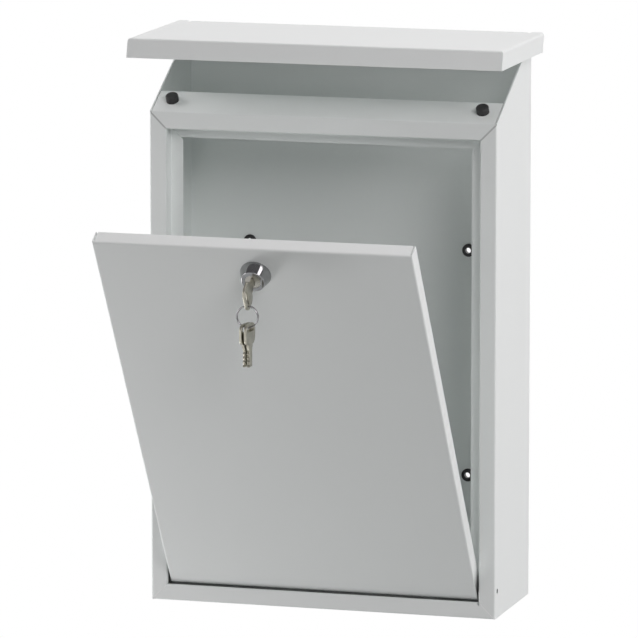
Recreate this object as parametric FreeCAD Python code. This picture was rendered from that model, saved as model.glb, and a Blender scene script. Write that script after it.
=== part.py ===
import FreeCAD
import Part
import math
import os

# Wall-mounted letterbox of folded sheet steel, in millimetres.
# The origin is the centre of the four wall screw holes, in the plane of the wall.
# +X is to the right of someone facing the box, +Y goes into the wall and +Z is up.
# At rest the door stands open on its stop and the lid is raised level.

# Sheet
sheet = 1.0
bend_inner = 0.5
seam = 0.2
floor_mitre_gap = 0.1

# Cabinet
cabinet_width = 280.0
cabinet_depth = 105.0
front_height = 388.0
roof_angle = 28.0
frame_face = 13.4
sill_face = 12.8
stop_width_side = 9.8
stop_width_top = 7.8
strip_length = 29.8
strip_hem = 8.0
strip_gap = 0.7
sill_depth = 12.0
sill_lip = 6.0
sill_slot = 1.2
sill_slot_depth = 2.2
floor_rear_flange = 12.0

# Wall screw holes and their rubber grommets
hole_spacing_x = 180.0
hole_spacing_z = 180.0
hole_centre_height = 183.0
grommet_bore_d = 4.5
grommet_neck_d = 7.0
grommet_lip_d = 10.2
grommet_wall_lip = 1.2
grommet_inner_lip = 2.2
grommet_round = 1.0

# Fits
running = 0.05
press_gap = 0.02
stop_clearance = 0.3
hole_gap = 0.1

# Door and its pins
door_depth = 12.0
door_recess = 0.5
door_side_gap = 1.4
door_top_gap = 2.3
door_sill_gap = 1.4
door_open_angle = 32.8
door_corner_slit = 0.8
pin_d = 4.0
pin_setback = 6.9
pin_rise = 4.6
pin_head_d = 6.0
pin_head = 1.2
pin_play = 0.3
pin_end_recess = 0.4

# Lid, its hinge and its buffers
lid_side_overhang = 10.4
lid_front_overhang = 21.7
lid_flange = 15.0
lid_flange_rake = 15.7
lid_round = 2.4
lid_end_reach = 3.0
hinge_rise = 2.77
rod_d = 4.0
leaf_width = 14.0
leaf_inset = 2.5
leaf_height = 18.0
loop_gap = 0.6
loop_mouth = 70.0
buffer_inset = 14.7
buffer_along = 14.9
buffer_d = 10.0
buffer_height = 5.5
buffer_round = 1.2
buffer_stem_d = 5.0
buffer_foot_d = 7.0
buffer_foot = 1.5

# Lock
lock_drop = 24.2
bezel_d = 24.0
bezel_skirt = 1.2
bezel_face_d = 18.2
bezel_height = 9.5
bezel_round = 0.9
housing_d = 18.0
housing_flats = 15.5
plug_d = 12.0
plug_recess = 0.3
plug_tail = 6.0
nut_flats = 22.0
nut_thick = 3.5
cam_thick = 2.0
cam_width = 15.0
cam_reach = 28.0
cam_round = 3.0
cam_clearance = 0.8
cam_seat = 0.2
screw_d = 4.0
screw_grip = 4.0
screw_head_d = 8.0
screw_head = 3.0
screw_slot = 1.0
screw_slot_depth = 1.4
washer_d = 12.0
washer_thick = 1.0

# Keys and ring
key_thick = 2.0
key_blade = 7.0
key_blade_length = 14.5
key_neck = 9.0
key_neck_length = 2.5
key_stand_off = 5.5
key_bow_width = 20.5
key_bow_length = 16.0
key_bow_round = 5.5
key_slot_length = 15.0
key_slot_width = 4.0
key_slot_margin = 2.2
key_notch = 1.6
key_notch_pitch = 3.1
key_notches = 4
keyway_gap = 0.2
keyway_end_gap = 1.0
ring_radius = 8.2
ring_wire_d = 1.2
ring_pitch = 1.0
ring_hang_gap = 0.05
spare_hang_gap = 0.5
spare_right_place = 11.0
spare_right_twist = -2.0
spare_left_place = -11.0
spare_left_twist = -6.0

# Main planes and lines, worked out from the sizes above
half_width = cabinet_width / 2
back_y = -grommet_wall_lip
front_y = back_y - cabinet_depth
bottom_z = -hole_centre_height
corner_z = bottom_z + front_height
sill_z = bottom_z + sill_face
frame_top_z = corner_z - frame_face
opening_half = half_width - frame_face
door_face_y = front_y + door_recess
stop_y = door_face_y + door_depth + stop_clearance
roof_slope = math.tan(math.radians(roof_angle))
bend_outer = bend_inner + sheet
inside_half = half_width - sheet
rail_half = inside_half - strip_gap
pan_half = inside_half - seam

# The open door's rounded heel is clear of the sill, and its side flanges rest under the feet of the stops
open_sin = math.sin(math.radians(door_open_angle))
open_cos = math.cos(math.radians(door_open_angle))
heel_reach = (pin_setback - bend_outer) * open_sin + (pin_rise - bend_outer) * open_cos + bend_outer
pin_z = sill_z + door_sill_gap + heel_reach
pin_y = door_face_y + pin_setback
door_bottom_z = pin_z - pin_rise
door_top_z = frame_top_z - door_top_gap
door_half = opening_half - door_side_gap
door_rear_y = door_face_y + door_depth
flange_reach = door_rear_y - pin_y
foot_reach = stop_y - pin_y
flange_rise = flange_reach * open_sin + (flange_reach * open_cos - foot_reach) * open_cos / open_sin
stop_foot_z = pin_z + flange_rise + stop_clearance

# The lid turns on a rod, inside loops of the sheet's own thickness
loop_inner_r = rod_d / 2 + running
loop_outer_r = loop_inner_r + sheet
inner_back_y = back_y - sheet
hinge_y = inner_back_y - loop_outer_r
hinge_z = corner_z + (hinge_y - front_y) * roof_slope + hinge_rise
leaf_out_x = half_width - leaf_inset
leaf_in_x = leaf_out_x - leaf_width
back_top_z = hinge_z - loop_outer_r - loop_gap
lid_half = half_width + lid_side_overhang
lid_top_z = hinge_z + loop_outer_r
lid_bottom_z = lid_top_z - lid_flange
lid_front_y = front_y - lid_front_overhang

X_AXIS = FreeCAD.Vector(1, 0, 0)
Y_AXIS = FreeCAD.Vector(0, 1, 0)
Z_AXIS = FreeCAD.Vector(0, 0, 1)
CENTRE = FreeCAD.Vector(0, 0, 0)

# Lines of the roof slope and of the lid's hinge
roof_line = FreeCAD.Vector(0, math.cos(math.radians(roof_angle)), math.sin(math.radians(roof_angle)))
roof_normal = FreeCAD.Vector(0, -roof_line.z, roof_line.y)
roof_corner = FreeCAD.Vector(0, front_y, corner_z)
strip_upper = roof_corner + roof_line * strip_length
hinge_point = FreeCAD.Vector(0, hinge_y, hinge_z)
buffer_seat = roof_corner + roof_line * buffer_along + X_AXIS * (half_width - buffer_inset)

# Planes of the lock and the key along the closed door's normal
lock_z = door_top_z - lock_drop
cam_y = stop_y + sheet + cam_clearance
cam_back_y = cam_y + cam_thick
washer_back_y = cam_back_y + washer_thick
housing_end_y = cam_y - cam_seat
bezel_face_y = door_face_y - bezel_height
plug_face_y = bezel_face_y + plug_recess
key_shoulder = key_stand_off + key_neck_length
key_slot_along = key_shoulder + key_bow_length - key_slot_margin - key_slot_width / 2
door_pivot = FreeCAD.Vector(0, pin_y, pin_z)


def in_xy(a, b):
    return FreeCAD.Vector(a, b, 0)


def in_yz(a, b):
    return FreeCAD.Vector(0, a, b)


def in_xz(a, b):
    return FreeCAD.Vector(a, 0, b)


PLANE_NORMALS = {in_xy: Z_AXIS, in_yz: X_AXIS, in_xz: Y_AXIS}


def rounded_path(points, radii, plane):
    """Edges through points of a plane, with an arc of its own radius at each inner corner."""
    edges = []
    start = plane(*points[0])
    for index in range(1, len(points) - 1):
        corner = plane(*points[index])
        before = (corner - plane(*points[index - 1])).normalize()
        after = (plane(*points[index + 1]) - corner).normalize()
        half_turn = before.getAngle(after) / 2
        reach = radii[index] * math.tan(half_turn)
        arc_end = corner + after * reach
        inward = (after - before).normalize()
        middle = corner + inward * (radii[index] / math.cos(half_turn) - radii[index])
        edges.append(Part.LineSegment(start, corner - before * reach).toShape())
        edges.append(Part.Arc(corner - before * reach, middle, arc_end).toShape())
        start = arc_end
    edges.append(Part.LineSegment(start, plane(*points[-1])).toShape())
    return edges


def folded_section(points, plane):
    """Section of a folded sheet. The points follow its outer side, with the metal on their left."""
    normals = []
    for (a0, b0), (a1, b1) in zip(points, points[1:]):
        length = math.hypot(a1 - a0, b1 - b0)
        normals.append(((b0 - b1) / length, (a1 - a0) / length))
    inner_points = []
    outer_radii = []
    inner_radii = []
    for (a, b), n1, n2 in zip(points, normals[:1] + normals, normals + normals[-1:]):
        mitre = sheet / (1 + n1[0] * n2[0] + n1[1] * n2[1])
        inner_points.append((a + mitre * (n1[0] + n2[0]), b + mitre * (n1[1] + n2[1])))
        turns_left = n1[0] * n2[1] > n1[1] * n2[0]
        outer_radii.append(bend_outer if turns_left else bend_inner)
        inner_radii.append(bend_inner if turns_left else bend_outer)
    edges = rounded_path(points, outer_radii, plane)
    edges.append(Part.LineSegment(plane(*points[-1]), plane(*inner_points[-1])).toShape())
    edges += rounded_path(inner_points[::-1], inner_radii[::-1], plane)
    edges.append(Part.LineSegment(plane(*inner_points[0]), plane(*points[0])).toShape())
    return Part.Face(Part.Wire(edges))


def pushed(face, direction, start, end):
    """A flat face pushed along a direction, from one distance to another."""
    solid = face.extrude(direction * (end - start))
    solid.translate(direction * start)
    return solid


def prism(points, plane, start, end):
    """Straight-sided solid between two distances along its plane's normal."""
    corners = [plane(*point) for point in points]
    face = Part.Face(Part.makePolygon(corners + corners[:1]))
    return pushed(face, PLANE_NORMALS[plane], start, end)


def box(x_range, y_range, z_range):
    low = FreeCAD.Vector(x_range[0], y_range[0], z_range[0])
    return Part.makeBox(x_range[1] - x_range[0], y_range[1] - y_range[0], z_range[1] - z_range[0], low)


def centred(width):
    return (-width / 2, width / 2)


def rod(diameter, start, end):
    return Part.makeCylinder(diameter / 2, (end - start).Length, start, end - start)


def mirrored(shape):
    return shape.mirror(CENTRE, X_AXIS)


def both_sides(shapes):
    return shapes + [mirrored(shape) for shape in shapes]


def turned(profile):
    """Solid turned about Z from points given as radius and height."""
    points = [in_xz(radius, height) for radius, height in profile]
    return Part.Face(Part.makePolygon(points + points[:1])).revolve(CENTRE, Z_AXIS, 360)


def round_rims(shape, radius, height, diameter):
    """Rounds the circular edges of a turned solid at one height and diameter."""
    rims = []
    for edge in shape.Edges:
        at_height = abs(edge.BoundBox.ZMin - height) + abs(edge.BoundBox.ZMax - height) < running
        if edge.Closed and at_height and abs(edge.Length - math.pi * diameter) < running:
            rims.append(edge)
    return shape.makeFillet(radius, rims)


def stood_on(shape, point, axis):
    """Moves a solid made about Z so that it stands on a point, along an axis."""
    shape.Placement = FreeCAD.Placement(point, FreeCAD.Rotation(Z_AXIS, axis))
    return shape


def hinge_loop(start_deg, sweep_deg, x_start, x_end):
    """Sheet curled about the lid's hinge line, with angles from +Y towards +Z."""
    def at(radius, share):
        angle = math.radians(start_deg + sweep_deg * share)
        return hinge_point + in_yz(radius * math.cos(angle), radius * math.sin(angle))

    edges = [
        Part.Arc(at(loop_outer_r, 0), at(loop_outer_r, 0.5), at(loop_outer_r, 1)).toShape(),
        Part.LineSegment(at(loop_outer_r, 1), at(loop_inner_r, 1)).toShape(),
        Part.Arc(at(loop_inner_r, 1), at(loop_inner_r, 0.5), at(loop_inner_r, 0)).toShape(),
        Part.LineSegment(at(loop_inner_r, 0), at(loop_outer_r, 0)).toShape(),
    ]
    return pushed(Part.Face(Part.Wire(edges)), X_AXIS, x_start, x_end)


def joint_line(edge_z, inward, gap):
    """Ends of the 45 degree joint of a right-hand frame corner, in the XZ plane."""
    near = (inside_half, edge_z + inward * (sheet - gap))
    far = (inside_half - half_width, near[1] + inward * half_width)
    return near, far


def upright_waste(edge_z, inward):
    near, far = joint_line(edge_z, inward, 0)
    beyond = edge_z - inward * half_width
    outline = [near, far, (far[0], beyond), (near[0], beyond)]
    return prism(outline, in_xz, front_y - sheet, stop_y + 2 * sheet)


def rail_waste(edge_z, inward, gap):
    near, far = joint_line(edge_z, inward, gap)
    return prism([near, far, (near[0], far[1])], in_xz, front_y - sheet, stop_y + 2 * sheet)


def wall_holes():
    """Name and centre of each wall screw hole."""
    centres = {}
    for side, x in zip(("left", "right"), centred(hole_spacing_x)):
        for level, z in zip(("lower", "upper"), centred(hole_spacing_z)):
            centres[level + "_" + side] = in_xz(x, z)
    return centres


def roof_height(y):
    return corner_z + (y - front_y) * roof_slope


def sill_slot_cut():
    """Narrow slot below the sill at the lower right inner corner of the frame."""
    x_range = (opening_half - sill_slot / 2, opening_half + sill_slot / 2)
    return box(x_range, (front_y - sheet, front_y + bend_outer), (sill_z - sill_slot_depth, sill_z))


def make_cabinet_wrap():
    stop_half = opening_half - stop_width_side
    right = [(stop_half, stop_y), (opening_half, stop_y), (opening_half, front_y),
             (half_width, front_y), (half_width, back_y)]
    left = [(-x, y) for x, y in reversed(right)]
    wrap = pushed(folded_section(right + left, in_xy), Z_AXIS, bottom_z, back_top_z)

    # The sides follow the roof line as far as the bends at the back
    ahead = front_y - frame_face
    behind = back_y - bend_outer
    roof_waste = [(ahead, roof_height(ahead)), (behind, roof_height(behind)),
                  (behind, lid_top_z), (ahead, lid_top_z)]
    cuts = [prism(roof_waste, in_yz, -lid_half, lid_half), sill_slot_cut()]

    # The uprights meet the top rail and the floor pan at mitres, and their stops end above the open door
    stop_foot = box((stop_half - sheet, opening_half), (stop_y - bend_outer, stop_y + 2 * sheet),
                    (bottom_z, stop_foot_z))
    pin_hole = rod(pin_d + 2 * press_gap, door_pivot + X_AXIS * door_half, door_pivot + X_AXIS * lid_half)
    mitres = [upright_waste(corner_z, -1), upright_waste(bottom_z, 1)]
    cuts += both_sides(mitres + [stop_foot, pin_hole])
    for centre in wall_holes().values():
        cuts.append(rod(grommet_neck_d, centre, centre + Y_AXIS * (back_y - 2 * sheet)))
    return wrap.cut(cuts)


def make_top_rail():
    points = [(strip_upper.y, strip_upper.z - strip_hem), (strip_upper.y, strip_upper.z),
              (front_y, corner_z), (front_y, frame_top_z), (stop_y, frame_top_z),
              (stop_y, frame_top_z - stop_width_top)]
    rail = pushed(folded_section(points, in_yz), X_AXIS, -rail_half, rail_half)
    stem_hole = rod(buffer_stem_d, buffer_seat + roof_normal * sheet, buffer_seat - roof_normal * 2 * sheet)
    return rail.cut(both_sides([rail_waste(corner_z, -1, seam), stem_hole]))


def make_floor_pan():
    rear_y = inner_back_y - seam
    sill_rear_y = front_y + sill_depth
    points = [(sill_rear_y, sill_z - sill_lip), (sill_rear_y, sill_z), (front_y, sill_z),
              (front_y, bottom_z), (rear_y, bottom_z), (rear_y, bottom_z + floor_rear_flange)]
    pan = pushed(folded_section(points, in_yz), X_AXIS, -pan_half, pan_half)

    # The rear corners are relieved for the bends between the back and the sides
    relief = box((inside_half - bend_outer, inside_half), (rear_y - bend_outer, back_y), (bottom_z, sill_z))
    return pan.cut(both_sides([rail_waste(bottom_z, 1, floor_mitre_gap), relief]) + [sill_slot_cut()])


def make_hinge_leaf():
    """Strip welded to the inside of the back, curled forward round the hinge rod at its top."""
    plate_z = (back_top_z - leaf_height, hinge_z)
    plate = box((leaf_in_x, leaf_out_x), (inner_back_y - sheet, inner_back_y), plate_z)
    loop = hinge_loop(0, 360 - loop_mouth, leaf_in_x, leaf_out_x)
    return plate.fuse(loop).removeSplitter()


def make_hinge_rod():
    return rod(rod_d, hinge_point - X_AXIS * leaf_out_x, hinge_point + X_AXIS * leaf_out_x)


def make_door_pin():
    seat_x = door_half - sheet - pin_play
    head_start = door_pivot + X_AXIS * (seat_x - pin_head)
    head = rod(pin_head_d, head_start, door_pivot + X_AXIS * seat_x)
    shank = rod(pin_d, head_start, door_pivot + X_AXIS * (half_width - pin_end_recess))
    return head.fuse(shank).removeSplitter()


def make_buffer():
    foot_r = buffer_foot_d / 2
    stem_r = buffer_stem_d / 2
    foot_z = -sheet - buffer_foot
    profile = [(0, foot_z), (foot_r, foot_z), (foot_r, -sheet), (stem_r, -sheet), (stem_r, 0),
               (buffer_d / 2, 0), (buffer_d / 2, buffer_height), (0, buffer_height)]
    buffer = round_rims(turned(profile), buffer_round, buffer_height, buffer_d)
    return stood_on(buffer, buffer_seat, roof_normal)


def make_grommet(centre):
    bore_r = grommet_bore_d / 2
    neck_r = grommet_neck_d / 2
    lip_r = grommet_lip_d / 2
    sheet_inside = grommet_wall_lip + sheet
    end = sheet_inside + grommet_inner_lip
    profile = [(bore_r, 0), (lip_r, 0), (lip_r, grommet_wall_lip), (neck_r, grommet_wall_lip),
               (neck_r, sheet_inside), (lip_r, sheet_inside), (lip_r, end), (bore_r, end)]
    grommet = round_rims(turned(profile), grommet_round, end, grommet_lip_d)
    return stood_on(grommet, centre, -Y_AXIS)


def round_upper_rim(solid, height, front_of, radius):
    """Rounds the level edges of a solid at one height, except the one at its rear."""
    edges = []
    for edge in solid.Edges:
        middle = edge.CenterOfMass
        if abs(middle.z - height) < running and middle.y < front_of - sheet:
            edges.append(edge)
    return solid.makeFillet(radius, edges)


def make_lid():
    rake = math.tan(math.radians(lid_flange_rake))
    wall = sheet / math.cos(math.radians(lid_flange_rake))
    rear_y = hinge_y + lid_end_reach
    beyond_y = rear_y + lid_flange
    lean = lid_flange * rake
    outline = [(lid_front_y, lid_top_z), (lid_front_y - lean, lid_bottom_z),
               (rear_y - lean, lid_bottom_z), (rear_y, lid_top_z)]
    outer = round_upper_rim(prism(outline, in_yz, -lid_half, lid_half), lid_top_z, rear_y, lid_round)

    # The hollow leaves one thickness of sheet at the top, the front and the sides
    hollow_top = lid_top_z - sheet
    hollow_bottom = lid_bottom_z - sheet
    hollow_front = lid_front_y + wall
    hollow_outline = [(hollow_front - sheet * rake, hollow_top),
                      (hollow_front - (lid_flange + sheet) * rake, hollow_bottom),
                      (beyond_y, hollow_bottom), (beyond_y, hollow_top)]
    hollow = prism(hollow_outline, in_yz, sheet - lid_half, lid_half - sheet)
    hollow = round_upper_rim(hollow, hollow_top, beyond_y, lid_round - sheet)

    # The rear edge curls round the rod between the hinge leaves, and is notched to clear them
    curl_half = leaf_in_x - loop_gap
    plate = (hollow_top - lid_round, lid_top_z + sheet)
    plate_end = box((-curl_half, curl_half), (hinge_y, beyond_y), plate)
    notch = box((curl_half, half_width + loop_gap), (hinge_y - loop_outer_r - loop_gap, beyond_y), plate)
    curl = hinge_loop(90, loop_mouth - 360, -curl_half, curl_half)
    return outer.cut([hollow, plate_end] + both_sides([notch])).fuse(curl).removeSplitter()


def round_front_rim(solid, face_y, radius):
    edges = []
    for edge in solid.Edges:
        if abs(edge.BoundBox.YMin - face_y) + abs(edge.BoundBox.YMax - face_y) < running:
            edges.append(edge)
    return solid.makeFillet(radius, edges)


def on_lock_axis(y):
    return FreeCAD.Vector(0, y, lock_z)


def flatted_bar(gap, start_y, end_y):
    """Round bar with two upright flats on the lock's axis, as the lock's body or its hole."""
    bar = rod(housing_d + 2 * gap, on_lock_axis(start_y), on_lock_axis(end_y))
    upright = (lock_z - housing_d, lock_z + housing_d)
    return bar.common(box(centred(housing_flats + 2 * gap), (start_y, end_y), upright))


def make_door_panel():
    outer = box((-door_half, door_half), (door_face_y, door_rear_y), (door_bottom_z, door_top_z))
    hollow = box((sheet - door_half, door_half - sheet), (door_face_y + sheet, door_rear_y + sheet),
                 (door_bottom_z + sheet, door_top_z - sheet))
    tray = round_front_rim(outer, door_face_y, bend_outer)
    hollow = round_front_rim(hollow, door_face_y + sheet, bend_inner)
    pin_hole = rod(pin_d + 2 * running, door_pivot - X_AXIS * half_width, door_pivot + X_AXIS * half_width)
    lock_hole = flatted_bar(hole_gap, door_face_y - sheet, door_face_y + 2 * sheet)

    # The upper and lower flanges stop short of the side flanges, which leaves a slit at each corner
    slit_x = (door_half - sheet - door_corner_slit, door_half - sheet)
    slit_y = (door_face_y + bend_outer, door_rear_y)
    slits = [box(slit_x, slit_y, (door_top_z - sheet, door_top_z)),
             box(slit_x, slit_y, (door_bottom_z, door_bottom_z + sheet))]
    return tray.cut([hollow, pin_hole, lock_hole] + both_sides(slits))


def make_lock_housing():
    profile = [(0, 0), (bezel_d / 2, 0), (bezel_d / 2, bezel_skirt), (bezel_face_d / 2, bezel_height),
               (0, bezel_height)]
    bezel = round_rims(turned(profile), bezel_round, bezel_height, bezel_face_d)
    bezel = stood_on(bezel, on_lock_axis(door_face_y), -Y_AXIS)
    bore = rod(plug_d + 2 * running, on_lock_axis(bezel_face_y - sheet), on_lock_axis(housing_end_y + sheet))
    return bezel.fuse(flatted_bar(0, door_face_y, housing_end_y)).cut(bore)


def make_lock_nut():
    radius = nut_flats / 2 / math.cos(math.radians(30))
    corners = []
    for step in range(6):
        angle = math.radians(60 * step)
        corners.append((radius * math.cos(angle), lock_z + radius * math.sin(angle)))
    front = door_face_y + sheet
    hexagon = prism(corners, in_xz, front, front + nut_thick)
    hole = rod(housing_d + 2 * press_gap, on_lock_axis(front), on_lock_axis(front + nut_thick))
    return hexagon.cut(hole)


def make_lock_plug():
    barrel = rod(plug_d, on_lock_axis(plug_face_y), on_lock_axis(housing_end_y))
    tail_z = (lock_z - plug_tail / 2, lock_z + plug_tail / 2)
    tail = box(centred(plug_tail), (housing_end_y, cam_back_y), tail_z)
    slot_half = key_blade / 2 + keyway_gap
    slot_y = (plug_face_y, plug_face_y + key_blade_length + keyway_end_gap)
    keyway = box(centred(key_thick + 2 * keyway_gap), slot_y, (lock_z - slot_half, lock_z + slot_half))
    thread_end = on_lock_axis(cam_back_y - screw_grip - hole_gap)
    thread = rod(screw_d + 2 * press_gap, thread_end, on_lock_axis(cam_back_y))
    return barrel.fuse(tail).cut([keyway, thread])


def make_lock_cam():
    half = cam_width / 2
    disc = rod(cam_width, on_lock_axis(cam_y), on_lock_axis(cam_back_y))
    arm = box((0, cam_reach), (cam_y, cam_back_y), (lock_z - half, lock_z + half))
    tip_edges = []
    for edge in arm.Edges:
        if edge.BoundBox.XMin > cam_reach - running and edge.BoundBox.YLength > cam_thick - running:
            tip_edges.append(edge)
    arm = arm.makeFillet(cam_round, tip_edges)
    hole_half = plug_tail / 2 + hole_gap
    hole = box((-hole_half, hole_half), (cam_y, cam_back_y), (lock_z - hole_half, lock_z + hole_half))
    return disc.fuse(arm).cut(hole).removeSplitter()


def make_cam_washer():
    disc = rod(washer_d, on_lock_axis(cam_back_y), on_lock_axis(washer_back_y))
    return disc.cut(rod(screw_d + 2 * hole_gap, on_lock_axis(cam_back_y), on_lock_axis(washer_back_y)))


def make_cam_screw():
    head_end = washer_back_y + screw_head
    shank = rod(screw_d, on_lock_axis(cam_back_y - screw_grip), on_lock_axis(washer_back_y))
    head = rod(screw_head_d, on_lock_axis(washer_back_y), on_lock_axis(head_end))
    slot = box(centred(screw_slot), (head_end - screw_slot_depth, head_end),
               (lock_z - screw_head_d, lock_z + screw_head_d))
    return head.fuse(shank).cut(slot).removeSplitter()


def make_key():
    """Key along Y, part of the way into a plug whose face is at the origin, with its bow to -Y."""
    across = centred(key_thick)
    bow_end = key_shoulder + key_bow_length
    blade = box(across, (-key_shoulder, key_blade_length - key_stand_off), centred(key_blade))
    neck = box(across, (-key_shoulder - key_bow_round, -key_stand_off), centred(key_neck))
    bow = box(across, (-bow_end, -key_shoulder), centred(key_bow_width))
    corners = [edge for edge in bow.Edges if edge.BoundBox.XLength > key_thick - running]
    bow = bow.makeFillet(key_bow_round, corners)
    slot_end = (key_slot_length - key_slot_width) / 2
    slot_y = (-key_slot_along - key_slot_width / 2, -key_slot_along + key_slot_width / 2)
    cuts = [box(across, slot_y, (-slot_end, slot_end))]
    for z in (-slot_end, slot_end):
        start = FreeCAD.Vector(across[0], -key_slot_along, z)
        cuts.append(rod(key_slot_width, start, start + X_AXIS * key_thick))
    edge_z = -key_blade / 2
    for step in range(key_notches):
        notch_y = key_notch_pitch * (step + 1) - key_stand_off
        notch = [(notch_y - key_notch, edge_z), (notch_y + key_notch, edge_z), (notch_y, edge_z + key_notch)]
        cuts.append(prism(notch, in_yz, *across))
    return blade.fuse([neck, bow]).cut(cuts).removeSplitter()


def opened(shape):
    """Turns a piece of the closed door to the door's place at rest."""
    return shape.rotated(door_pivot, X_AXIS, door_open_angle)


# The ring hangs in the lower end of the key's slot, and the spare keys hang on the ring
key_place = on_lock_axis(plug_face_y)
slot_low = key_place - Y_AXIS * key_slot_along - Z_AXIS * (key_slot_length - key_slot_width) / 2
ring_drop = key_slot_width / 2 - ring_wire_d / 2 - ring_pitch / 2 - ring_hang_gap
door_turn = FreeCAD.Rotation(X_AXIS, door_open_angle)
ring_top = door_pivot + door_turn.multVec(slot_low - door_pivot) - Z_AXIS * ring_drop
ring_centre = ring_top - Z_AXIS * ring_radius
spare_hang_along = key_slot_along + key_slot_width / 2 - ring_wire_d / 2 - spare_hang_gap


def make_key_ring():
    """Two turns of wire side by side, with one outline."""
    wire_r = ring_wire_d / 2
    half_pitch = ring_pitch / 2
    waist = math.sqrt(wire_r * wire_r - half_pitch * half_pitch)
    outer = in_yz(0, ring_radius + waist)
    inner = in_yz(0, ring_radius - waist)
    edges = []
    for side in (-1, 1):
        edges.append(Part.Arc(outer, in_yz(side * (half_pitch + wire_r), ring_radius), inner).toShape())
    ring = Part.Face(Part.Wire(edges)).revolve(CENTRE, Y_AXIS, 360)
    ring.translate(ring_centre)
    return ring


def spare_pose(place_deg, twist_deg):
    """Where a spare key hangs on the ring, and how it is turned there."""
    angle = math.radians(place_deg)
    point = ring_centre + in_xz(ring_radius * math.sin(angle), -ring_radius * math.cos(angle))
    return point, FreeCAD.Rotation(Z_AXIS, twist_deg).multiply(FreeCAD.Rotation(X_AXIS, -90))


def make_spare_key(place_deg, twist_deg):
    point, turn = spare_pose(place_deg, twist_deg)
    spare = make_key()
    spare.Placement = FreeCAD.Placement(point + turn.multVec(Y_AXIS * spare_hang_along), turn)
    return spare


def make_inserted_key():
    key = make_key()
    key.translate(key_place)
    return key


def make_parts():
    parts = {
        "cabinet_wrap": make_cabinet_wrap(),
        "top_rail": make_top_rail(),
        "floor_pan": make_floor_pan(),
        "hinge_leaf_left": mirrored(make_hinge_leaf()),
        "hinge_leaf_right": make_hinge_leaf(),
        "lid_hinge_rod": make_hinge_rod(),
        "door_pin_left": mirrored(make_door_pin()),
        "door_pin_right": make_door_pin(),
        "lid_buffer_left": mirrored(make_buffer()),
        "lid_buffer_right": make_buffer(),
        "lid": make_lid(),
        "door_panel": opened(make_door_panel()),
        "lock_housing": opened(make_lock_housing()),
        "lock_nut": opened(make_lock_nut()),
        "lock_plug": opened(make_lock_plug()),
        "lock_cam": opened(make_lock_cam()),
        "cam_washer": opened(make_cam_washer()),
        "cam_screw": opened(make_cam_screw()),
        "key": opened(make_inserted_key()),
        "key_ring": make_key_ring(),
        "spare_key_left": make_spare_key(spare_left_place, spare_left_twist),
        "spare_key_right": make_spare_key(spare_right_place, spare_right_twist),
    }
    for name, centre in wall_holes().items():
        parts["grommet_" + name] = make_grommet(centre)
    return parts


os.makedirs("parts", exist_ok=True)
for node, shape in make_parts().items():
    shape.exportStep("parts/" + node + ".step")
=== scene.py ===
import math

import bmesh
import bpy
from mathutils import Matrix, Vector


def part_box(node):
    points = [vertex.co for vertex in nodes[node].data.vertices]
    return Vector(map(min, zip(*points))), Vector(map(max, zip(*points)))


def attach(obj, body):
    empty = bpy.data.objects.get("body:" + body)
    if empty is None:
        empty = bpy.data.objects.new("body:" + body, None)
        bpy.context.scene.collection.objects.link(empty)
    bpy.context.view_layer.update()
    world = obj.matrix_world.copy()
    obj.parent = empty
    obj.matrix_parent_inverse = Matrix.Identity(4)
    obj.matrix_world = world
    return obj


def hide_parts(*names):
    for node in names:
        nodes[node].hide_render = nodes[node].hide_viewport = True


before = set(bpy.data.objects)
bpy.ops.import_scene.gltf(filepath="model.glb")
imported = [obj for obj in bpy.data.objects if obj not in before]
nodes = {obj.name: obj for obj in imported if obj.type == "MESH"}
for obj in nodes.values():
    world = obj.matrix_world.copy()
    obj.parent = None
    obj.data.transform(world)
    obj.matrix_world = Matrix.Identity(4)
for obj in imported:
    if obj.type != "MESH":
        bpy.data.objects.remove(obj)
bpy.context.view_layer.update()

MM = 0.001


def middle_of(node):
    low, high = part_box(node)
    return (low + high) / 2


# Sizes of the frame round the door, and the angle of the open door
FRAME_FACE = 13.4 * MM
TOP_STOP_HEIGHT = 7.8 * MM
STOP_DEPTH = 16.2 * MM
MITRE_ABOVE_SILL = 0.4 * MM
DOOR_LEAN = math.radians(32.8)

# Places on the box that its finishes refer to
DOOR_UP = Vector((0, -math.sin(DOOR_LEAN), math.cos(DOOR_LEAN)))
DOOR_PIN = middle_of("door_pin_right")
DOOR_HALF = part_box("door_panel")[1].x
FRAME_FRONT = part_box("floor_pan")[0].y
SILL_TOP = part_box("floor_pan")[1].z
OPENING_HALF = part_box("cabinet_wrap")[1].x - FRAME_FACE
OPENING_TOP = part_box("top_rail")[0].z + TOP_STOP_HEIGHT
BEHIND_STOPS = FRAME_FRONT + STOP_DEPTH

# Distance from the middle less height along the upper mitres, and plus height along the lower ones
UPPER_MITRE = OPENING_HALF - OPENING_TOP
LOWER_MITRE = OPENING_HALF + SILL_TOP + MITRE_ABOVE_SILL

# Colours of the powder coat, and of the painted highlight and painted shade on it
COAT_COOL = (0.814, 0.858, 0.842, 1)
COAT_PALE = (0.834, 0.878, 0.862, 1)
SPECKLE_GREY = (0.755, 0.792, 0.778, 1)
PAINTED_HIGHLIGHT_PALE = (0.945, 0.975, 0.965, 1)
PAINTED_SHADE_BLACK = (0.02, 0.02, 0.019, 1)


# Shader building

class Signal:
    """One output of a shader node. Arithmetic on it adds Math nodes."""

    def __init__(self, finish, socket):
        self.finish = finish
        self.socket = socket

    def __add__(self, other):
        return self.finish.math("ADD", self, other)

    def __radd__(self, other):
        return self.finish.math("ADD", other, self)

    def __sub__(self, other):
        return self.finish.math("SUBTRACT", self, other)

    def __rsub__(self, other):
        return self.finish.math("SUBTRACT", other, self)

    def __mul__(self, other):
        return self.finish.math("MULTIPLY", self, other)

    def __rmul__(self, other):
        return self.finish.math("MULTIPLY", other, self)

    def __abs__(self):
        return self.finish.math("ABSOLUTE", self, 0.0)


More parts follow.
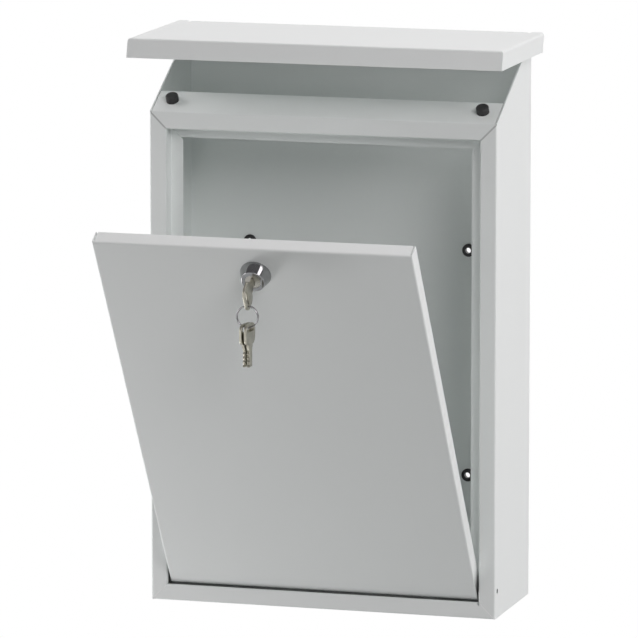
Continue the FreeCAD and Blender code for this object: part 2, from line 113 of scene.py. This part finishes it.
def by_identifier(sockets, identifier):
    return next(socket for socket in sockets if socket.identifier == identifier)


class Finish:
    """Node tree of a surface finish or of the world."""

    def __init__(self, owner):
        self.owner = owner
        owner.use_nodes = True
        self.tree = owner.node_tree
        self.tree.nodes.clear()

    def add(self, kind, settings=None, output=None, **inputs):
        """Adds a node with its settings, then the values or links of its sockets."""
        node = self.tree.nodes.new(kind)
        for name, value in (settings or {}).items():
            setattr(node, name, value)
        for identifier, value in inputs.items():
            socket = by_identifier(node.inputs, identifier)
            if isinstance(value, Signal):
                self.tree.links.new(value.socket, socket)
            else:
                socket.default_value = value
        if not node.outputs:
            return None
        return Signal(self, by_identifier(node.outputs, output) if output else node.outputs[0])

    def math(self, operation, first, second):
        return self.add("ShaderNodeMath", {"operation": operation}, Value=first, Value_001=second)

    def most(self, first, second):
        return self.math("MAXIMUM", first, second)

    def mix(self, share, first, second):
        """Colour between two others."""
        return self.add("ShaderNodeMix", {"data_type": "RGBA"}, "Result_Color",
                        Factor_Float=share, A_Color=first, B_Color=second)

    def blend(self, share, first, second):
        """Shader between two others."""
        return self.add("ShaderNodeMixShader", Fac=share, Shader=first, Shader_001=second)

    def vector_math(self, operation, output, first, second=(0, 0, 0)):
        return self.add("ShaderNodeVectorMath", {"operation": operation}, output,
                        Vector=first, Vector_001=tuple(second))

    def place(self):
        return self.add("ShaderNodeTexCoord", output="Object")

    def along(self, direction):
        """Distance of a point from the origin along a direction, in the row frame."""
        return self.vector_math("DOT_PRODUCT", "Value", self.place(), direction)

    def x(self):
        return self.along((1, 0, 0))

    def y(self):
        return self.along((0, 1, 0))

    def z(self):
        return self.along((0, 0, 1))

    def noise(self, per_metre, detail, stretch=(1, 1, 1)):
        place = self.add("ShaderNodeMapping", Vector=self.place(), Scale=stretch)
        return self.add("ShaderNodeTexNoise", Vector=place, Scale=per_metre, Detail=detail)

    def rise(self, signal, low, high):
        """0 below one value, 1 above another and smooth between them."""
        return self.add("ShaderNodeMapRange", {"interpolation_type": "SMOOTHSTEP"},
                        Value=signal, **{"From Min": low, "From Max": high})

    def fall(self, signal, low, high):
        """1 below one value, 0 above another and smooth between them."""
        return 1 - self.rise(signal, low, high)

    def bump(self, height, depth, strength):
        return self.add("ShaderNodeBump", Height=height, Distance=depth, Strength=strength)

    def seen_directly(self):
        """1 for what the camera sees, also in metal or through a gap, 0 for light on the object."""
        seen = 0.0
        for ray in ("Is Camera Ray", "Is Glossy Ray", "Is Transmission Ray"):
            seen = self.most(seen, self.add("ShaderNodeLightPath", output=ray))
        return seen

    def surface(self, **inputs):
        """Ends the tree in a plain physical surface."""
        self.end(self.add("ShaderNodeBsdfPrincipled", **inputs))
        return self.owner

    def end(self, shader):
        world = isinstance(self.owner, bpy.types.World)
        kind = "ShaderNodeOutputWorld" if world else "ShaderNodeOutputMaterial"
        self.add(kind, Surface=shader)


def new_finish(name):
    return Finish(bpy.data.materials.new(name))


# Finishes

def on_frame_face(coat):
    """1 on the front faces of the frame, 0 behind them."""
    return coat.fall(coat.y(), FRAME_FRONT + 0.5 * MM, FRAME_FRONT + 1.2 * MM)


def upper_mitre_shade(coat):
    """Shaded line along the mitres between the top rail and the uprights."""
    strength = 0.4
    off_line = abs(abs(coat.x()) - coat.z() - UPPER_MITRE)
    line = coat.fall(off_line, 0.4 * MM, 1.3 * MM)
    over_opening = coat.rise(coat.z(), OPENING_TOP - 1 * MM, OPENING_TOP + 1 * MM)
    return strength * line * on_frame_face(coat) * over_opening


def lower_mitre_highlight(coat):
    """Painted highlight: a paler line along the mitres between the sill and the uprights."""
    off_line = abs(abs(coat.x()) + coat.z() - LOWER_MITRE)
    line = coat.fall(off_line, 0.2 * MM, 0.8 * MM)
    below_door = coat.fall(coat.z(), SILL_TOP, SILL_TOP + 1 * MM)
    return line * on_frame_face(coat) * below_door


def upright_painted_shade(coat):
    """Painted shade low in the gaps beside the door, and the upper mitres' shade."""
    low = coat.fall(coat.z(), DOOR_PIN.z + 3 * MM, DOOR_PIN.z + 18 * MM)
    inside = coat.fall(abs(coat.x()), OPENING_HALF + 0.1 * MM, OPENING_HALF + 0.5 * MM)
    behind_face = coat.rise(coat.y(), FRAME_FRONT + 1.2 * MM, FRAME_FRONT + 2.5 * MM)
    up_to_stops = coat.fall(coat.y(), BEHIND_STOPS, BEHIND_STOPS + 2 * MM)
    return coat.most(low * inside * behind_face * up_to_stops, upper_mitre_shade(coat))


def sill_painted_shade(coat):
    """Painted shade on the sill in the gap under the door."""
    on_top = coat.rise(coat.z(), SILL_TOP - 0.4 * MM, SILL_TOP - 0.1 * MM)
    return on_top * coat.rise(coat.y(), FRAME_FRONT + 1.2 * MM, FRAME_FRONT + 2.0 * MM)


def door_painted_shade(coat):
    """Painted shade under the door's heel and low on its side flanges."""
    flange_share = 0.8
    above_pin = coat.along(DOOR_UP) - DOOR_PIN.dot(DOOR_UP)
    heel = coat.fall(above_pin, -4.5 * MM, -4.1 * MM)
    on_flange = coat.rise(abs(coat.x()), DOOR_HALF - 0.3 * MM, DOOR_HALF - 0.05 * MM)
    low = coat.fall(above_pin, 4 * MM, 22 * MM)
    return coat.most(heel, flange_share * on_flange * low)


def powder_coat(name, painted_shade=None, painted_highlight=None):
    """White powder coat: fine orange peel, a little cloudiness and a satin sheen."""
    coat = new_finish(name)
    clouds = coat.noise(per_metre=14.0, detail=3.0)
    peel = coat.noise(per_metre=620.0, detail=2.0)
    speckle = coat.rise(coat.noise(per_metre=1500.0, detail=1.0), 0.62, 0.75)
    colour = coat.mix(clouds, COAT_COOL, COAT_PALE)
    colour = coat.mix(speckle * 0.25, colour, SPECKLE_GREY)
    # Painted highlight and painted shade mixed into the coat's colour, where they are given
    if painted_highlight:
        colour = coat.mix(painted_highlight(coat), colour, PAINTED_HIGHLIGHT_PALE)
    if painted_shade:
        colour = coat.mix(painted_shade(coat), colour, PAINTED_SHADE_BLACK)
    return coat.surface(**{
        "Base Color": colour,
        "Roughness": 0.36 + clouds * 0.10 + peel * 0.06,
        "Normal": coat.bump(peel, depth=0.05 * MM, strength=0.35),
    })


def matt_finish(name, shade, roughness, gloss=0.5):
    """Matt black or grey with a fine grain and rubbed, paler patches."""
    matt = new_finish(name)
    grain = matt.noise(per_metre=2600.0, detail=2.0)
    bloom = matt.rise(matt.noise(per_metre=260.0, detail=3.0), 0.45, 0.75)
    plain = (shade, shade, shade, 1)
    rubbed = (2.2 * shade, 2.2 * shade, 2.3 * shade, 1)
    return matt.surface(**{
        "Base Color": matt.mix(bloom, plain, rubbed),
        "Roughness": roughness + bloom * 0.12 + grain * 0.06,
        "Specular IOR Level": gloss,
        "Normal": matt.bump(grain, depth=0.03 * MM, strength=0.5),
    })


def plated_metal(name, tint, roughness, scratch_stretch, scratch_depth):
    """Plated metal with hairline scratches along one direction and a little tarnish."""
    plate = new_finish(name)
    lines = plate.noise(per_metre=900.0, detail=4.0, stretch=scratch_stretch)
    tarnish = plate.rise(plate.noise(per_metre=180.0, detail=3.0), 0.40, 0.72)
    dull = tuple(0.72 * part for part in tint)
    return plate.surface(**{
        "Base Color": plate.mix(tarnish * 0.6, (*tint, 1), (*dull, 1)),
        "Metallic": 1.0,
        "Roughness": roughness + tarnish * (0.35 * roughness) + lines * (0.5 * roughness),
        "Normal": plate.bump(lines, depth=scratch_depth * MM, strength=0.4),
    })


def dress(material, *names):
    for name in names:
        slots = nodes[name].data.materials
        slots.clear()
        slots.append(material)


plain_coat = powder_coat("plain_coat")
upright_coat = powder_coat("upright_coat", upright_painted_shade, lower_mitre_highlight)
rail_coat = powder_coat("rail_coat", upper_mitre_shade)
sill_coat = powder_coat("sill_coat", sill_painted_shade, lower_mitre_highlight)
door_coat = powder_coat("door_coat", door_painted_shade)
buffer_rubber = matt_finish("buffer_rubber", 0.018, 0.50)
grommet_rubber = matt_finish("grommet_rubber", 0.010, 0.30)
pin_oxide = matt_finish("pin_oxide", 0.004, 0.60, gloss=0.1)
bezel_chrome = plated_metal("bezel_chrome", (0.34, 0.345, 0.35), 0.05, (1, 1, 1), 0.004)
plug_nickel = plated_metal("plug_nickel", (0.48, 0.47, 0.43), 0.22, (6, 1, 1), 0.010)
key_nickel = plated_metal("key_nickel", (0.51, 0.495, 0.42), 0.24, (1, 8, 1), 0.015)
ring_steel = plated_metal("ring_steel", (0.32, 0.32, 0.33), 0.16, (1, 1, 1), 0.008)
zinc_plate = plated_metal("zinc_plate", (0.62, 0.64, 0.66), 0.30, (1, 1, 3), 0.012)

dress(plain_coat, "lid", "hinge_leaf_left", "hinge_leaf_right")
dress(upright_coat, "cabinet_wrap")
dress(rail_coat, "top_rail")
dress(sill_coat, "floor_pan")
dress(door_coat, "door_panel")
dress(buffer_rubber, "lid_buffer_left", "lid_buffer_right")
dress(grommet_rubber, "grommet_upper_left", "grommet_upper_right",
      "grommet_lower_left", "grommet_lower_right")
dress(pin_oxide, "door_pin_left", "door_pin_right")
dress(bezel_chrome, "lock_housing")
dress(plug_nickel, "lock_plug")
dress(key_nickel, "key", "spare_key_left", "spare_key_right")
dress(ring_steel, "key_ring")
dress(zinc_plate, "lid_hinge_rod", "lock_nut", "lock_cam", "cam_washer", "cam_screw")


# Pieces that replace plain solids

def place_piece(name, mesh, body, node):
    piece = bpy.data.objects.new(name, mesh)
    bpy.context.scene.collection.objects.link(piece)
    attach(piece, body)
    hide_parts(node)


def eased(name, node, body, width, material):
    """A solid whose sharp edges are eased by a small bevel, as on stamped metal."""
    flat_angle = math.radians(1)
    sharp_angle = math.radians(35)
    crease_angle = math.radians(40)
    source = nodes[node]
    work = bmesh.new()
    work.from_mesh(source.data)
    work.transform(source.matrix_world)
    bmesh.ops.remove_doubles(work, verts=work.verts, dist=0.001 * MM)
    bmesh.ops.dissolve_limit(work, angle_limit=flat_angle, verts=work.verts, edges=work.edges)
    sharp = [edge for edge in work.edges
             if len(edge.link_faces) == 2 and edge.calc_face_angle() > sharp_angle]
    bmesh.ops.bevel(work, geom=sharp, offset=width, segments=2, profile=0.5, affect="EDGES",
                    clamp_overlap=True)
    mesh = bpy.data.meshes.new(name)
    work.to_mesh(mesh)
    work.free()
    mesh.materials.append(material)
    mesh.shade_smooth()
    mesh.set_sharp_from_angle(angle=crease_angle)
    place_piece(name, mesh, body, node)


def wire_group():
    """Geometry nodes that sweep a round wire along a path of edges."""
    group = bpy.data.node_groups.new("wire_along_path", "GeometryNodeTree")
    for name, side, kind in (("Path", "INPUT", "NodeSocketGeometry"),
                             ("Wire Radius", "INPUT", "NodeSocketFloat"),
                             ("Sides", "INPUT", "NodeSocketInt"),
                             ("Finish", "INPUT", "NodeSocketMaterial"),
                             ("Wire", "OUTPUT", "NodeSocketGeometry")):
        group.interface.new_socket(name=name, in_out=side, socket_type=kind)
    given = group.nodes.new("NodeGroupInput").outputs
    curve = group.nodes.new("GeometryNodeMeshToCurve")
    profile = group.nodes.new("GeometryNodeCurvePrimitiveCircle")
    sweep = group.nodes.new("GeometryNodeCurveToMesh")
    smooth = group.nodes.new("GeometryNodeSetShadeSmooth")
    real = group.nodes.new("GeometryNodeRealizeInstances")
    finish = group.nodes.new("GeometryNodeSetMaterial")
    result = group.nodes.new("NodeGroupOutput")
    sweep.inputs["Fill Caps"].default_value = True
    for start, end in ((given["Path"], curve.inputs["Mesh"]),
                       (given["Sides"], profile.inputs["Resolution"]),
                       (given["Wire Radius"], profile.inputs["Radius"]),
                       (curve.outputs["Curve"], sweep.inputs["Curve"]),
                       (profile.outputs["Curve"], sweep.inputs["Profile Curve"]),
                       (sweep.outputs["Mesh"], smooth.inputs["Geometry"]),
                       (smooth.outputs["Geometry"], real.inputs["Geometry"]),
                       (real.outputs["Geometry"], finish.inputs["Geometry"]),
                       (given["Finish"], finish.inputs["Material"]),
                       (finish.outputs["Geometry"], result.inputs["Wire"])):
        group.links.new(start, end)
    return group


def wire_mesh(name, points, radius, sides, material):
    path = bpy.data.meshes.new(name + "_path")
    path.from_pydata(points, [(step, step + 1) for step in range(len(points) - 1)], [])
    holder = bpy.data.objects.new(name + "_path", path)
    bpy.context.scene.collection.objects.link(holder)
    modifier = holder.modifiers.new("wire", "NODES")
    modifier.node_group = wire_group()
    values = {"Wire Radius": radius, "Sides": sides, "Finish": material}
    for item in modifier.node_group.interface.items_tree:
        if item.name in values:
            modifier[item.identifier] = values[item.name]
    ready = holder.evaluated_get(bpy.context.evaluated_depsgraph_get())
    mesh = bpy.data.meshes.new_from_object(ready)
    holder.modifiers.remove(modifier)
    bpy.data.objects.remove(holder)
    return mesh


def split_ring():
    """Key ring of two turns of wire, which step from one turn to the other near the free ends."""
    centre = middle_of("key_ring")
    radius = 8.2 * MM
    wire_radius = 0.54 * MM
    start_angle = math.radians(140)
    step_half = 0.32  # half the angle over which the wire steps across
    end_gap = 0.05  # angle between the step and a free end
    wire_sides = 16
    path_steps = 192
    sweep = 4 * math.pi - 2 * (step_half + end_gap)
    points = []
    for index in range(path_steps + 1):
        turn = step_half + end_gap + sweep * index / path_steps
        share = min(max((turn - 2 * math.pi + step_half) / (2 * step_half), 0), 1)
        side = share * share * (3 - 2 * share) * 2 - 1
        angle = start_angle + turn
        points.append(centre + Vector((radius * math.sin(angle), side * wire_radius,
                                       radius * math.cos(angle))))
    mesh = wire_mesh("split_ring", points, wire_radius, wire_sides, ring_steel)
    place_piece("split_ring", mesh, "key_ring", "key_ring")


for piece_name, key in (("bevelled_key", "key"),
                        ("bevelled_spare_left", "spare_key_left"),
                        ("bevelled_spare_right", "spare_key_right")):
    eased(piece_name, key, key, 0.25 * MM, key_nickel)
for piece_name, solid, body, width in (
        ("bevelled_lock_nut", "lock_nut", "door", 0.3 * MM),
        ("bevelled_lock_cam", "lock_cam", "lock_plug", 0.25 * MM),
        ("bevelled_cam_screw", "cam_screw", "lock_plug", 0.3 * MM),
        ("bevelled_cam_washer", "cam_washer", "lock_plug", 0.15 * MM)):
    eased(piece_name, solid, body, width, zinc_plate)
split_ring()


# Stage, light and camera

LAMP_COLOUR = (1.0, 0.952, 0.970)
FLOOR_GREY = (0.571, 0.600, 0.589, 1)
WHITE = (1, 1, 1, 1)
SQUARE = ((-1, -1), (1, -1), (1, 1), (-1, 1))


def staged_sheet(name, corners, material):
    mesh = bpy.data.meshes.new(name)
    mesh.from_pydata([Vector(corner) for corner in corners], [], [range(len(corners))])
    mesh.materials.append(material)
    sheet = bpy.data.objects.new(name, mesh)
    bpy.context.scene.collection.objects.link(sheet)
    return sheet


def white_studio():
    """White all round for the camera, and softer light from there on the object."""
    world = bpy.data.worlds.new("studio")
    bpy.context.scene.world = world
    air = Finish(world)
    ambient = air.add("ShaderNodeBackground", Color=WHITE, Strength=0.02)
    white = air.add("ShaderNodeBackground", Color=WHITE, Strength=1.0)
    air.end(air.blend(air.seen_directly(), ambient, white))


def paper_floor():
    """Pale floor well below the box, which fades into the white around it."""
    level = -1.3
    half_side = 4
    least_white = 0.45
    fade_start = 1.4
    fade_end = 3.6
    paper = new_finish("floor_paper")
    flat = paper.vector_math("MULTIPLY", "Vector", paper.place(), (1, 1, 0))
    distance = paper.vector_math("LENGTH", "Value", flat)
    matt = paper.add("ShaderNodeBsdfDiffuse", Color=FLOOR_GREY)
    white = paper.add("ShaderNodeEmission", Color=WHITE, Strength=1.0)
    fade = paper.most(least_white, paper.rise(distance, fade_start, fade_end))
    paper.end(paper.blend(fade * paper.seen_directly(), matt, white))
    corners = [(x * half_side, y * half_side, level) for x, y in SQUARE]
    staged_sheet("floor", corners, paper.owner)


def reflected_flag(name, place, aim, width, height, material):
    """Grey card that shows only as a reflection, mostly in the lock, and takes no light away."""
    normal = (Vector(aim) - Vector(place)).normalized()
    across = normal.cross(Vector((0, 0, 1))).normalized()
    up = across.cross(normal)
    corners = [Vector(place) + across * (x * width / 2) + up * (y * height / 2)
               for x, y in SQUARE]
    flag = staged_sheet(name, corners, material)
    flag.visible_camera = False
    flag.visible_diffuse = False
    flag.visible_transmission = False
    flag.visible_shadow = False


def softbox(name, place, aim, width, height, power):
    lamp = bpy.data.lights.new(name, "AREA")
    lamp.shape = "RECTANGLE"
    lamp.size = width
    lamp.size_y = height
    lamp.energy = power
    lamp.color = LAMP_COLOUR
    holder = bpy.data.objects.new(name, lamp)
    bpy.context.scene.collection.objects.link(holder)
    holder.location = place
    holder.rotation_euler = (Vector(aim) - Vector(place)).to_track_quat("-Z", "Y").to_euler()
    holder.visible_camera = False


def photo_camera():
    """Long lens from the front, a little to the right and above."""
    turn = math.radians(16.431)
    rise = math.radians(9.324)
    distance = 5.0
    aim = Vector((-0.018516, -0.051364, 0.037791))
    back = Vector((math.sin(turn) * math.cos(rise), -math.cos(turn) * math.cos(rise),
                   math.sin(rise)))
    right = Vector((math.cos(turn), math.sin(turn), 0))
    lens = bpy.data.cameras.new("photo_view")
    lens.sensor_width = 36.0
    lens.lens = 358.79
    lens.clip_end = 60.0
    camera = bpy.data.objects.new("photo_view", lens)
    bpy.context.scene.collection.objects.link(camera)
    place = Matrix((right, back.cross(right), back)).transposed().to_4x4()
    place.translation = aim + distance * back
    camera.matrix_world = place
    bpy.context.scene.camera = camera


white_studio()
paper_floor()
flag_cloth = matt_finish("flag_cloth", 0.3, 0.8, gloss=0.1)

# Name, place, aim, width and height
for flag_values in (("upper_left_flag", (-0.60, -0.69, 1.32), (0, -0.29, 0.11), 2.6, 1.9),
                    ("upper_right_flag", (0.80, -0.86, 1.37), (0, -0.29, 0.11), 1.2, 1.2),
                    ("right_flag", (1.37, -0.20, 0.66), (0, -0.29, 0.11), 1.7, 1.5),
                    ("room_behind_camera", (1.6, -5.5, 0.9), (0, -0.2, 0), 6.0, 4.0)):
    reflected_flag(*flag_values, flag_cloth)

# Name, place, aim, width, height and power
for lamp_values in (("rear_overhead", (-0.3, 1.2, 2.0), (0, -0.05, 0.2), 1.8, 1.4, 17.6),
                    ("front_overhead", (0.0, -0.8, 2.3), (0, -0.05, 0.2), 1.8, 1.4, 3.5),
                    ("lock_glint", (0.94, -0.63, 0.96), (0, -0.28, 0.11), 0.36, 0.36, 1.4),
                    ("right_side", (2.3, -0.7, 0.7), (0, -0.05, 0), 1.2, 1.6, 4.2),
                    ("right_rear", (2.2, 0.5, 0.6), (0, -0.1, 0), 1.2, 1.4, 25.6),
                    ("right_front", (1.5, -2.0, 1.4), (0, -0.1, 0), 1.2, 1.2, 24.2),
                    ("left_side", (-2.4, 0.1, 0.5), (0, -0.1, 0), 1.2, 1.4, 5.0),
                    ("left_raised", (-2.3, -0.25, 1.15), (0, -0.1, 0.1), 2.0, 1.6, 32.0),
                    ("left_floor", (-0.6, -0.35, -0.55), (-0.1, -0.14, -0.13), 0.3, 0.3, 1.9),
                    ("front_level", (0.3, -2.6, 0.35), (0, -0.1, 0.1), 1.0, 0.5, 3.1),
                    ("front_low", (0.0, -2.2, -0.7), (0, -0.1, 0.1), 1.0, 0.5, 1.4)):
    softbox(*lamp_values)
photo_camera()

bpy.context.scene.view_settings.view_transform = "Standard"
